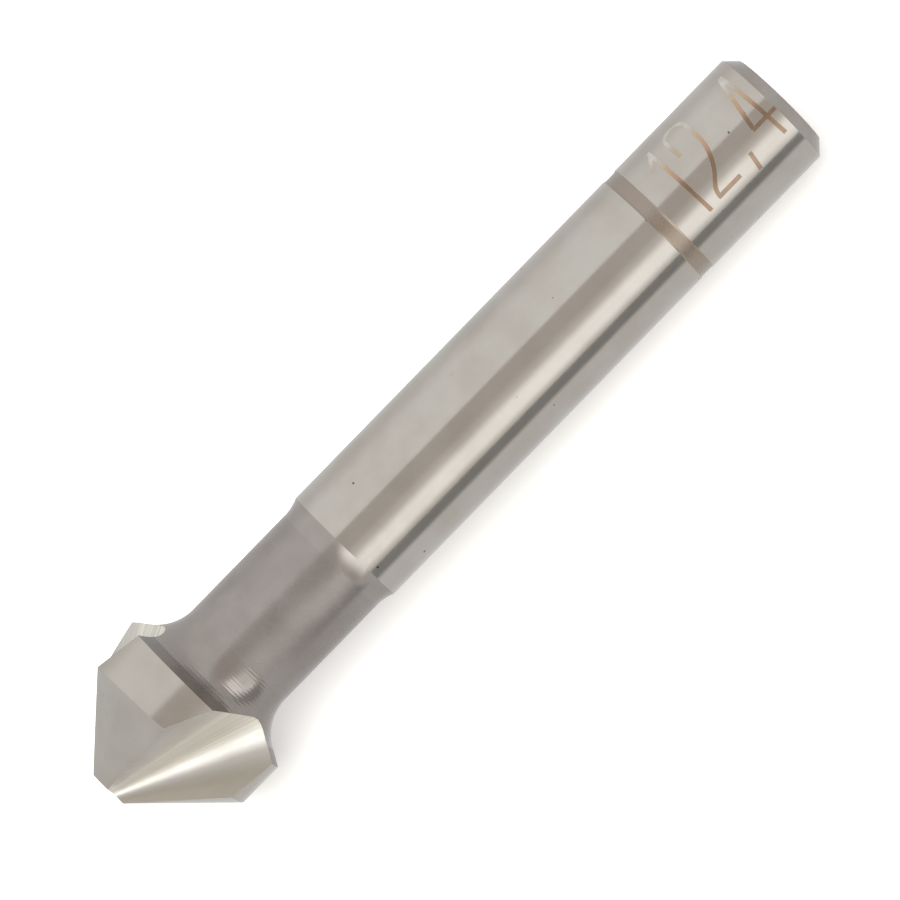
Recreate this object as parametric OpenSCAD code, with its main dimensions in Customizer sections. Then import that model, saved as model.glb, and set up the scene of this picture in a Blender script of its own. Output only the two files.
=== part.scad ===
// Countersink bit, turned and ground from one bar of high speed steel: a cutting head with three
// flutes, a slimmer neck and a plain round shank. It is shaped upright on its own axis, with the tip
// at z = 0 and the shank above it, and is then laid on its side, as it comes to rest on a flat face.

/* [Cutting head] */
// Diameter across the cutting edges
head_d = 12.4; // [11:0.1:16]
// Diameter of the flat at the tip
tip_d = 2.8; // [2.2:0.1:3.6]
// Angle across the cutting cone
cone_angle = 90; // [82:1:100]
// Length of the round band behind the cone
band_len = 3; // [2:0.1:5]
// Angle of the back face from square to the axis
back_angle = 30; // [20:1:40]
// How far each cone land is shifted off the axis, which clears it behind its cutting edge
land_shift = 0.32; // [0.1:0.02:0.5]

/* [Flutes] */
// Turn from the first cutting edge to the second
edge_2_at = 113; // [106:0.5:120]
// Turn from the first cutting edge to the third
edge_3_at = 238.5; // [230:0.5:246]
// Turn across a flute, from the heel of one land to the next cutting edge, at the front of the band
flute_opening = 64.2; // [52:0.1:70]
// Hook of the rake face, turned about its cutting edge
rake_hook = 20; // [8:0.5:24]
// Turn of the heel wall from the cutting edge's own radius
heel_turn = 2.5; // [-4:0.5:8]
// Distance from the tip's centre to the heel wall of each flute, which leaves the web between them
web_half = 0.45; // [0.2:0.05:0.6]
// Half the taper of the rounded root between the two walls of a flute
root_taper = 10; // [6:1:14]
// How far the root's own point lies ahead of the point of the cutting cone
root_lead = 0.3; // [0.1:0.1:1.5]

/* [Neck] */
// Diameter of the neck
neck_d = 7.5; // [6.6:0.1:7.8]
// Radius of the two hollows that lead from the neck to the head and to the shank
hollow_r = 3; // [2:0.1:3.5]

/* [Shank] */
// Diameter of the shank
shank_d = 8; // [7.8:0.1:10]
// Length of the shank
shank_len = 36.25; // [30:0.25:40]
// Length of the whole tool
overall_len = 56; // [52:0.5:70]
// Width of the bevel round the shank's end
end_bevel = 0.75; // [0.3:0.05:1.5]
// Distance from the shank's end to the ring mark
ring_from_end = 9.7; // [5:0.1:20]
// Width of the ring mark
ring_w = 0.85; // [0.5:0.05:2]
// Depth of the ring mark
ring_depth = 0.06; // [0.03:0.01:0.2]

/* [Hidden] */
$fn = 128;

steel = "#b8b1a9";
head_r = head_d / 2;
tip_r = tip_d / 2;
neck_r = neck_d / 2;
shank_r = shank_d / 2;

// Stations along the axis, counted from the tip
half_cone = cone_angle / 2;
cone_point_z = -tip_r / tan(half_cone);
cone_end_z = (head_r - tip_r) / tan(half_cone);
band_end_z = cone_end_z + band_len;
shank_start_z = overall_len - shank_len;
bevel_start_z = overall_len - end_bevel;
ring_end_z = overall_len - ring_from_end;

// The hollow behind the head touches the back face and runs into the neck
head_hollow_sweep = 90 - back_angle;
back_rise = head_r - neck_r - hollow_r * (1 - cos(head_hollow_sweep));
neck_start_z = band_end_z + back_rise * tan(back_angle) + hollow_r * sin(head_hollow_sweep);
// It is turned as short tapers, so that the flutes run out through plain conical faces
hollow_tapers = 16;
// The hollow ahead of the shank leaves the neck and meets the shank at an edge
shank_hollow_sweep = acos(1 - (shank_r - neck_r) / hollow_r);
neck_end_z = shank_start_z - hollow_r * sin(shank_hollow_sweep);

// Walls of a flute whose cutting edge lies over the X axis: each is a plane, given by the
// direction that it faces and by its distance from the tip's centre along that direction
rake_face = [-cos(half_cone) * sin(rake_hook), -cos(rake_hook), sin(half_cone) * sin(rake_hook)];
rake_level = rake_face.z * cone_point_z;
heel_across = head_r * cos(flute_opening + heel_turn);
heel_lean = acos(web_half / norm([heel_across, cone_end_z])) - atan2(cone_end_z, heel_across);
heel_wall = [cos(heel_lean) * cos(heel_turn), cos(heel_lean) * sin(heel_turn), -sin(heel_lean)];

// The rounded root is a cone that touches both walls and starts on the line where they would meet
walls_cross = cross(heel_wall, rake_face);
root_line = walls_cross / norm(walls_cross) * sign(walls_cross.z);
root_start = wall_corner(cone_point_z - root_lead);
root_pull = sin(root_taper) / (1 + heel_wall * rake_face);
root_axis = root_pull * (heel_wall + rake_face)
          + sqrt(1 - pow(root_pull * norm(heel_wall + rake_face), 2)) * root_line;
heel_touch = root_axis / cos(root_taper) - tan(root_taper) * heel_wall;
rake_touch = root_axis / cos(root_taper) - tan(root_taper) * rake_face;
flute_reach = 2 * neck_start_z;

edge_angles = [0, edge_2_at, edge_3_at];

// How the tool lies: on the two corners of the second flute and on the rim of the shank's end
heel_corner = edge_2_at + heel_at(band_end_z);
edge_corner = edge_2_at;
heel_arm = head_r * (bevel_start_z - cone_end_z);
edge_arm = head_r * (bevel_start_z - band_end_z);
lie_x = heel_arm * cos(heel_corner) - edge_arm * cos(edge_corner);
lie_y = heel_arm * sin(heel_corner) - edge_arm * sin(edge_corner);
lie_turn = atan2(lie_y, lie_x)
         + acos(shank_r * (band_end_z - cone_end_z) / norm([lie_x, lie_y]));
down_turn = cos(lie_turn - edge_corner) > 0 ? lie_turn : lie_turn - 180;
down_slope = (head_r * cos(edge_corner - down_turn) - shank_r) / (bevel_start_z - cone_end_z);
lie_tilt = atan(down_slope);
axis_height = (shank_r + bevel_start_z * down_slope) * cos(lie_tilt);
end_r = shank_r - end_bevel;
lie_middle = (overall_len * cos(lie_tilt) + end_r * sin(lie_tilt)) / 2;

// Place on the outline of the hollow behind the head, a turn back from where it meets the neck
function head_hollow_at(turn) =
    [neck_r + hollow_r * (1 - cos(turn)), neck_start_z - hollow_r * sin(turn)];

// Place at height z of the corner where the two walls of a flute would meet
function wall_corner(z) =
    let (heel = web_half - heel_wall.z * z,
         rake = rake_level - rake_face.z * z,
         scale = heel_wall.x * rake_face.y - heel_wall.y * rake_face.x)
    [(heel * rake_face.y - heel_wall.y * rake) / scale,
     (heel_wall.x * rake - rake_face.x * heel) / scale,
     z];

// Turn from the cutting edge to the heel, where the heel wall leaves the band at height z
function heel_at(z) =
    heel_turn - acos((web_half - heel_wall.z * z) / (head_r * cos(heel_lean)));

// Turns the Z axis to a direction
module face_along(direction)
{
    rotate([0, acos(direction.z / norm(direction)), atan2(direction.y, direction.x)])
        children();
}

// Everything in front of a plane through a point
module open_side(point, facing)
{
    translate(point)
        face_along(facing)
            translate([-flute_reach, -flute_reach, 0])
                cube(2 * flute_reach);
}

// Half of the turned outline, with the axis along Y
module turned_outline()
{
    difference()
    {
        polygon([
            [0, 0],
            [tip_r, 0],
            [head_r, cone_end_z],
            [head_r, band_end_z],
            for (taper = [hollow_tapers:-1:0])
                head_hollow_at(head_hollow_sweep * taper / hollow_tapers),
            [neck_r, neck_end_z],
            [shank_r, shank_start_z],
            [shank_r, bevel_start_z],
            [end_r, overall_len],
            [0, overall_len]
        ]);
        translate([neck_r + hollow_r, neck_end_z])
            circle(hollow_r);
        translate([shank_r - ring_depth, ring_end_z - ring_w])
            square([2 * ring_depth, ring_w]);
    }
}

// Material ground out of one flute: a flat rake face, a flat heel wall and a rounded root
module flute()
{
    translate(root_start)
        face_along(root_axis)
            cylinder(h = flute_reach, r1 = 0, r2 = flute_reach * tan(root_taper));
    intersection()
    {
        open_side(root_start, rake_face);
        open_side(root_start, heel_wall);
        open_side(root_start, cross(rake_touch, heel_touch));
    }
}

// Material ground off the cone of one land, from its cutting edge back to its heel
module land_clearance(start, end)
{
    middle = (start + end) / 2;
    deep = cone_end_z + 2 * land_shift;
    rise = deep + land_shift - cone_point_z;
    difference()
    {
        linear_extrude(deep)
            polygon([[0, 0], for (turn = [start, middle, end]) head_d * [cos(turn), sin(turn)]]);
        rotate([0, 0, start + flute_opening / 2])
            translate([0, -land_shift, cone_point_z])
                cylinder(h = rise, r1 = 0, r2 = rise * tan(half_cone));
    }
}

// The tool upright on its axis
module ground_tool()
{
    difference()
    {
        rotate_extrude()
            turned_outline();
        for (turn = edge_angles)
            rotate([0, 0, turn])
                flute();
        for (land = [0:2])
        {
            start = edge_angles[land] - flute_opening / 2;
            end = (land < 2 ? edge_angles[land + 1] : 360) - flute_opening / 2;
            land_clearance(start, end);
        }
    }
}

module countersink_bit()
{
    color(steel)
        translate([-lie_middle, 0, axis_height])
            rotate([0, 90 + lie_tilt, 0])
                rotate([0, 0, -down_turn])
                    ground_tool();
}

countersink_bit();
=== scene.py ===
"""Countersink bit of high speed steel, turned and ground, lying on a pale studio floor."""

import logging
import math
from dataclasses import dataclass
from enum import IntEnum

import bmesh
import bpy
from mathutils import Matrix, Vector


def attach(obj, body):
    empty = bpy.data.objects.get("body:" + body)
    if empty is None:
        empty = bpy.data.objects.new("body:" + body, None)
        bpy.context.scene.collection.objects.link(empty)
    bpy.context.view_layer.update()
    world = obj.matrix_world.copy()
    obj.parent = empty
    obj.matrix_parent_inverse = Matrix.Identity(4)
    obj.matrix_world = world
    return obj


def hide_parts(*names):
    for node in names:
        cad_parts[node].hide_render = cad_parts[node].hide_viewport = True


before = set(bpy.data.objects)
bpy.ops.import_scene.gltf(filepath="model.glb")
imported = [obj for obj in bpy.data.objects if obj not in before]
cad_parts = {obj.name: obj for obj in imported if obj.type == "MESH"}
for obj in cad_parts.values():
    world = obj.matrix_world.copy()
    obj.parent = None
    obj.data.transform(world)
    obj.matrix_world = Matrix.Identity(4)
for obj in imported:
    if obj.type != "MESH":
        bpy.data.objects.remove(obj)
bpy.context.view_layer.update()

LOG = logging.getLogger("countersink")
MM = 0.001
MICRON = 0.000001
FULL_TURN = 2 * math.pi

# Points of the tool's mesh that are nearer than this are one point, in millimetres
WELD = 0.001
# Edges of a flute's cutter that are shorter than this are none, in millimetres
SLIVER = 0.000001
# Turn of the marked side's middle line from the first cutting edge, in degrees
MARKED_TURN = -62.0
# Rounding of the real tool's edges, in millimetres, which gives them a thin gleam
EDGE_ROUND = 0.03
WHITE = (1.0, 1.0, 1.0, 1.0)
PIT_COLOUR = "6b5f55"
# Distances from a pit's middle at which it starts to darken and is fully dark, in millimetres
PIT_RADII = (0.1, 0.05)
# Largest share of the metal's own colour that shows through a tint
CLOUD_ON_TINT = 0.3
# The part of a noise's values that is stretched to the full range, for soft clouds and for the rest
CLOUD_RANGE = {"From Min": 0.35, "From Max": 0.65}
NOISE_RANGE = {"From Min": 0.3, "From Max": 0.7}
# How many times wider than the grain the changes of the gloss are
GLOSS_SPREAD = 4
# Anisotropic rotation of a quarter turn, which stretches the gloss across the tangent
QUARTER_TURN = 0.25
# Numbers of a colour Mix node's two colours and result, because other sockets share their names
MIX_UNDER, MIX_OVER, MIX_RESULT = 6, 7, 2

Tree = bpy.types.NodeTree
Socket = bpy.types.NodeSocket
Colour = tuple[float, float, float, float]
Stops = tuple[tuple[float, str], ...]


class Region(IntEnum):
    """Surface regions of the tool. The value is the region's material slot on the mesh."""

    BAND = 0
    LAND = 1
    BACK = 2
    HOLLOW = 3
    NECK = 4
    SHANK = 5
    RING = 6
    END = 7
    FLUTE_1 = 8
    FLUTE_2 = 9
    FLUTE_3 = 10
    MARK = 11
    STEP = 12


FLUTES = (Region.FLUTE_1, Region.FLUTE_2, Region.FLUTE_3)


def radial(turn: float) -> Vector:
    """Returns the unit vector square to the tool's axis at a turn in radians."""
    return Vector((math.cos(turn), math.sin(turn), 0))


def linear(value: str) -> Colour:
    """Turns an sRGB hex colour to linear values.

    Args:
        value: Six hex digits, such as "b8b1a9".

    Returns:
        Red, green and blue from 0 to 1, and an alpha of 1.
    """
    parts = [int(value[start:start + 2], 16) / 255 for start in (0, 2, 4)]
    low, knee, scale, shift, power = 0.04045, 12.92, 1.055, 0.055, 2.4
    red, green, blue = (p / knee if p <= low else ((p + shift) / scale) ** power for p in parts)
    return red, green, blue, 1.0


@dataclass(frozen=True)
class ToolSizes:
    """Driving sizes of the tool, in millimetres and degrees, the same as in the part's source.

    Attributes:
        head_d: Diameter across the cutting edges.
        tip_d: Diameter of the flat at the tip.
        cone_angle: Angle across the cutting cone.
        band_len: Length of the round band behind the cone.
        back_angle: Angle of the back face from square to the axis.
        land_shift: How far each cone land is shifted off the axis, which clears it.
        edges_at: Turn of each cutting edge from the first one.
        flute_opening: Turn across a flute, from the heel of one land to the next cutting edge.
        rake_hook: Hook of the rake face, turned about its cutting edge.
        heel_turn: Turn of the heel wall from the cutting edge's own radius.
        web_half: Distance from the tip's centre to the heel wall of each flute.
        root_taper: Half the taper of the rounded root between the two walls of a flute.
        root_lead: How far the root's own point lies ahead of the point of the cutting cone.
        neck_d: Diameter of the neck.
        hollow_r: Radius of the two hollows that lead from the neck to the head and the shank.
        shank_d: Diameter of the shank.
        shank_len: Length of the shank.
        overall_len: Length of the whole tool.
        end_bevel: Width of the bevel round the shank's end.
        ring_from_end: Distance from the shank's end to the ring mark.
        ring_w: Width of the ring mark.
        ring_depth: Depth of the ring mark.
    """

    head_d: float = 12.4
    tip_d: float = 2.8
    cone_angle: float = 90
    band_len: float = 3
    back_angle: float = 30
    land_shift: float = 0.32
    edges_at: tuple[float, float, float] = (0, 113, 238.5)
    flute_opening: float = 64.2
    rake_hook: float = 20
    heel_turn: float = 2.5
    web_half: float = 0.45
    root_taper: float = 10
    root_lead: float = 0.3
    neck_d: float = 7.5
    hollow_r: float = 3
    shank_d: float = 8
    shank_len: float = 36.25
    overall_len: float = 56
    end_bevel: float = 0.75
    ring_from_end: float = 9.7
    ring_w: float = 0.85
    ring_depth: float = 0.06

    @property
    def head_r(self) -> float:
        """Radius across the cutting edges."""
        return self.head_d / 2

    @property
    def tip_r(self) -> float:
        """Radius of the flat at the tip."""
        return self.tip_d / 2

    @property
    def neck_r(self) -> float:
        """Radius of the neck."""
        return self.neck_d / 2

    @property
    def shank_r(self) -> float:
        """Radius of the shank."""
        return self.shank_d / 2

    @property
    def half_cone(self) -> float:
        """Half of the cone's angle, in radians."""
        return math.radians(self.cone_angle / 2)

    @property
    def cone_point_z(self) -> float:
        """Height at which the cutting cone would come to a point."""
        return -self.tip_r / math.tan(self.half_cone)

    @property
    def cone_end_z(self) -> float:
        """Height at which the cutting cone meets the band."""
        return (self.head_r - self.tip_r) / math.tan(self.half_cone)

    @property
    def band_end_z(self) -> float:
        """Height at which the band meets the back face."""
        return self.cone_end_z + self.band_len

    @property
    def head_hollow_sweep(self) -> float:
        """Turn of the hollow behind the head, in radians."""
        return math.radians(90 - self.back_angle)

    @property
    def back_end_z(self) -> float:
        """Height at which the back face meets the hollow behind the head."""
        rise = self.head_r - self.neck_r - self.hollow_r * (1 - math.cos(self.head_hollow_sweep))
        return self.band_end_z + rise * math.tan(math.radians(self.back_angle))

    @property
    def neck_start_z(self) -> float:
        """Height at which the hollow behind the head runs into the neck."""
        return self.back_end_z + self.hollow_r * math.sin(self.head_hollow_sweep)

    @property
    def shank_start_z(self) -> float:
        """Height at which the shank starts."""
        return self.overall_len - self.shank_len

    @property
    def shank_hollow_sweep(self) -> float:
        """Turn of the hollow ahead of the shank, in radians."""
        return math.acos(1 - (self.shank_r - self.neck_r) / self.hollow_r)

    @property
    def neck_end_z(self) -> float:
        """Height at which the neck ends."""
        return self.shank_start_z - self.hollow_r * math.sin(self.shank_hollow_sweep)

    @property
    def bevel_start_z(self) -> float:
        """Height at which the bevel round the shank's end starts."""
        return self.overall_len - self.end_bevel

    @property
    def ring_end_z(self) -> float:
        """Height of the ring mark's far side."""
        return self.overall_len - self.ring_from_end

    @property
    def ring_start_z(self) -> float:
        """Height of the ring mark's near side."""
        return self.ring_end_z - self.ring_w

    def hollow_at(self, turn: float) -> tuple[float, float]:
        """Returns a hollow's radius and distance from the neck's end, a turn in radians from it."""
        return self.neck_r + self.hollow_r * (1 - math.cos(turn)), self.hollow_r * math.sin(turn)


class FluteWalls:
    """Planes and root of a flute whose cutting edge lies over the X axis.

    Attributes:
        taper: Half the taper of the rounded root, in radians.
        rake_face: Normal of the rake face.
        heel_lean: Lean of the heel wall from upright, in radians.
        heel_wall: Normal of the heel wall.
        start: The rounded root's own point, in millimetres.
        axis: Unit vector along the root, from its point towards the shank.
    """

    def __init__(self, sizes: ToolSizes) -> None:
        """Works the walls out from the driving sizes.

        Args:
            sizes: Driving sizes of the tool.
        """
        hook = math.radians(sizes.rake_hook)
        turn = math.radians(sizes.heel_turn)
        self.taper = math.radians(sizes.root_taper)
        half = sizes.half_cone
        self.rake_face = Vector((
            -math.cos(half) * math.sin(hook),
            -math.cos(hook),
            math.sin(half) * math.sin(hook),
        ))
        rake_level = self.rake_face.z * sizes.cone_point_z
        across = sizes.head_r * math.cos(math.radians(sizes.flute_opening) + turn)
        reach = math.hypot(across, sizes.cone_end_z)
        self.heel_lean = math.acos(sizes.web_half / reach) - math.atan2(sizes.cone_end_z, across)
        self.heel_wall = Vector((
            math.cos(self.heel_lean) * math.cos(turn),
            math.cos(self.heel_lean) * math.sin(turn),
            -math.sin(self.heel_lean),
        ))
        root_line = self.heel_wall.cross(self.rake_face).normalized()
        if root_line.z < 0:
            root_line.negate()
        self.start = self.corner(sizes.cone_point_z - sizes.root_lead, rake_level, sizes.web_half)
        between = self.heel_wall + self.rake_face
        pull = math.sin(self.taper) / (1 + self.heel_wall.dot(self.rake_face))
        self.axis = pull * between + math.sqrt(1 - (pull * between.length) ** 2) * root_line
        self.axis.normalize()

    def corner(self, height: float, rake_level: float, web_half: float) -> Vector:
        """Works out where the two walls would meet.

        Args:
            height: Height of the place.
            rake_level: Distance of the rake face from the tip's centre.
            web_half: Distance of the heel wall from the tip's centre.

        Returns:
            The place at that height.
        """
        heel, rake = self.heel_wall, self.rake_face
        heel_gap = web_half - heel.z * height
        rake_gap = rake_level - rake.z * height
        scale = heel.x * rake.y - heel.y * rake.x
        return Vector((
            (heel_gap * rake.y - heel.y * rake_gap) / scale,
            (heel.x * rake_gap - rake.x * heel_gap) / scale,
            height,
        ))

    def touch(self, wall: Vector) -> Vector:
        """Returns the direction of the line on which the rounded root touches a wall."""
        return self.axis / math.cos(self.taper) - math.tan(self.taper) * wall


class RestPose:
    """How the tool lies: on the corners of its second flute and on the rim of the shank's end.

    Attributes:
        turned: Turn from the upright frame to the lying one.
        matrix: Turn, move and scale from upright millimetres to the frame's metres.
    """

    def __init__(self, sizes: ToolSizes, walls: FluteWalls) -> None:
        """Works the pose out as the part's source does.

        Args:
            sizes: Driving sizes of the tool.
            walls: Walls of a flute, which give the heel's corner.
        """
        edge = math.radians(sizes.edges_at[1])
        reach = sizes.web_half - walls.heel_wall.z * sizes.band_end_z
        wall_reach = sizes.head_r * math.cos(walls.heel_lean)
        heel = edge + math.radians(sizes.heel_turn) - math.acos(reach / wall_reach)
        heel_arm = sizes.head_r * (sizes.bevel_start_z - sizes.cone_end_z)
        edge_arm = sizes.head_r * (sizes.bevel_start_z - sizes.band_end_z)
        arms = heel_arm * radial(heel) - edge_arm * radial(edge)
        turn = math.atan2(arms.y, arms.x)
        turn += math.acos(sizes.shank_r * (sizes.band_end_z - sizes.cone_end_z) / arms.length)
        if math.cos(turn - edge) <= 0:
            turn -= math.pi
        slope = sizes.head_r * math.cos(edge - turn) - sizes.shank_r
        slope /= sizes.bevel_start_z - sizes.cone_end_z
        tilt = math.atan(slope)
        height = (sizes.shank_r + sizes.bevel_start_z * slope) * math.cos(tilt)
        end_r = sizes.shank_r - sizes.end_bevel
        middle = (sizes.overall_len * math.cos(tilt) + end_r * math.sin(tilt)) / 2
        self.turned = Matrix.Rotation(math.pi / 2 + tilt, 4, "Y") @ Matrix.Rotation(-turn, 4, "Z")
        place = Matrix.Translation(Vector((-middle, 0, height)) * MM)
        self.matrix = place @ self.turned @ Matrix.Scale(MM, 4)

    def facing(self, turn: float) -> Vector:
        """Returns the direction at a turn about the tool, in degrees from its first cutting edge."""
        return self.turned.to_3x3() @ radial(math.radians(turn))


@dataclass(frozen=True)
class Bar:
    """A straight stroke on the unrolled shank.

    Attributes:
        start: First point, along and round the shank, in millimetres.
        end: Last point, along and round the shank, in millimetres.
    """

    start: tuple[float, float]
    end: tuple[float, float]

    @property
    def way(self) -> Vector:
        """The way from the stroke's start to its end."""
        return Vector(self.end) - Vector(self.start)

    @property
    def start_place(self) -> Matrix:
        """Place and turn of the stroke's start."""
        turn = Matrix.Rotation(math.atan2(self.way.y, self.way.x), 4, "Z")
        return Matrix.Translation((*self.start, 0)) @ turn

    def steps(self, length: float) -> int:
        """Returns the number of pieces that are at most a length long."""
        return math.ceil(self.way.length / length)

    def step(self, length: float) -> Matrix:
        """Returns the move from one piece to the next."""
        return Matrix.Translation((*(self.way / self.steps(length)), 0))


@dataclass(frozen=True)
class Bow:
    """A round stroke on the unrolled shank.

    Attributes:
        middle: Middle of the circle, along and round the shank, in millimetres.
        radius: Radius of the circle, in millimetres.
        first: Angle at which the stroke starts, in degrees.
        sweep: Angle over which it runs, in degrees.
    """

    middle: tuple[float, float]
    radius: float
    first: float
    sweep: float

    @property
    def start_place(self) -> Matrix:
        """Place and turn of the stroke's start."""
        arm = Matrix.Rotation(math.radians(self.first), 4, "Z") @ Matrix.Translation((self.radius, 0, 0))
        return Matrix.Translation((*self.middle, 0)) @ arm @ Matrix.Rotation(math.pi / 2, 4, "Z")

    def steps(self, length: float) -> int:
        """Returns the number of pieces that are at most a length long."""
        return math.ceil(self.radius * math.radians(self.sweep) / length)

    def step(self, length: float) -> Matrix:
        """Works out the turn from one piece to the next.

        Args:
            length: Largest length of a piece.

        Returns:
            The turn about the circle's middle.
        """
        middle = Matrix.Translation((*self.middle, 0))
        turn = Matrix.Rotation(math.radians(self.sweep) / self.steps(length), 4, "Z")
        return middle @ turn @ middle.inverted()


# The size number 12,4. The first value of a point runs along the shank from the tip, in reading
# direction, and the second one runs round it, up the digits, from the marked side's middle line.
SIZE_NUMBER = (
    Bar((48.46, -1.70), (48.30, 3.90)),
    Bar((48.34, 3.70), (47.70, 2.45)),
    Bar((49.27, -1.46), (51.07, -1.46)),
    Bow((50.58, -1.50), 1.20, 138, 42),
    Bar((49.66, -0.73), (50.10, -0.25)),
    Bow((47.47, 2.06), 3.50, -42, 42),
    Bar((50.97, 2.00), (50.97, 3.20)),
    Bow((50.18, 3.18), 0.79, 0, 180),
    Bar((49.39, 3.18), (49.45, 1.90)),
    Bar((52.37, -0.90), (52.17, -2.13)),
    Bar((54.66, -1.60), (54.36, 4.05)),
    Bar((53.40, -0.13), (55.25, -0.13)),
    Bar((53.48, -0.10), (54.28, 4.00)),
)


@dataclass(frozen=True)
class Engraver:
    """Cuts strokes into the shank's surface.

    Attributes:
        radius: Radius of the shank, in millimetres.
        turn: Turn of the line that the strokes' second values are counted from, in degrees.
        width: Width of a stroke.
        depth: Depth of a stroke.
        height: How far the cutter stands out of the surface.
        step: Largest length of the pieces that a stroke is bent in.
    """

    radius: float
    turn: float = MARKED_TURN
    width: float = 0.27
    depth: float = 0.01
    height: float = 0.2
    step: float = 0.2

    def flat(self, stroke: Bar | Bow) -> bmesh.types.BMesh:
        """Makes a stroke as a closed solid on the unrolled shank.

        Args:
            stroke: The stroke to make.

        Returns:
            The solid, with its Z axis pointing out of the shank.
        """
        bm = bmesh.new()
        # A unit square stands across the stroke and is scaled to its width and height
        bmesh.ops.create_grid(bm, x_segments=1, y_segments=1, size=0.5)
        bmesh.ops.rotate(bm, verts=bm.verts, matrix=Matrix.Rotation(math.pi / 2, 3, "Y"))
        bmesh.ops.scale(bm, verts=bm.verts, vec=(1, self.width, self.height + self.depth))
        bmesh.ops.translate(bm, verts=bm.verts, vec=(0, 0, (self.height - self.depth) / 2))
        step = stroke.step(self.step)
        front = bm.verts[:] + bm.edges[:] + bm.faces[:]
        bmesh.ops.transform(bm, matrix=stroke.start_place, verts=bm.verts)
        for _ in range(stroke.steps(self.step)):
            front = bmesh.ops.extrude_face_region(bm, geom=front)["geom"]
            moved = [item for item in front if isinstance(item, bmesh.types.BMVert)]
            bmesh.ops.transform(bm, matrix=step, verts=moved)
        return bm

    def cutter(self, stroke: Bar | Bow) -> bpy.types.Object:
        """Makes a stroke and rolls it round the shank.

        Args:
            stroke: The stroke to make.

        Returns:
            A closed object in the tool's upright frame.
        """
        bm = self.flat(stroke)
        for corner in bm.verts:
            along, up, out = corner.co
            turn = math.radians(self.turn) - up / self.radius
            corner.co = (self.radius + out) * radial(turn) + Vector((0, 0, along))
        bm.normal_update()
        bmesh.ops.recalc_face_normals(bm, faces=bm.faces)
        for face in bm.faces:
            face.material_index = Region.MARK
        return as_object("stroke", bm)


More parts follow.
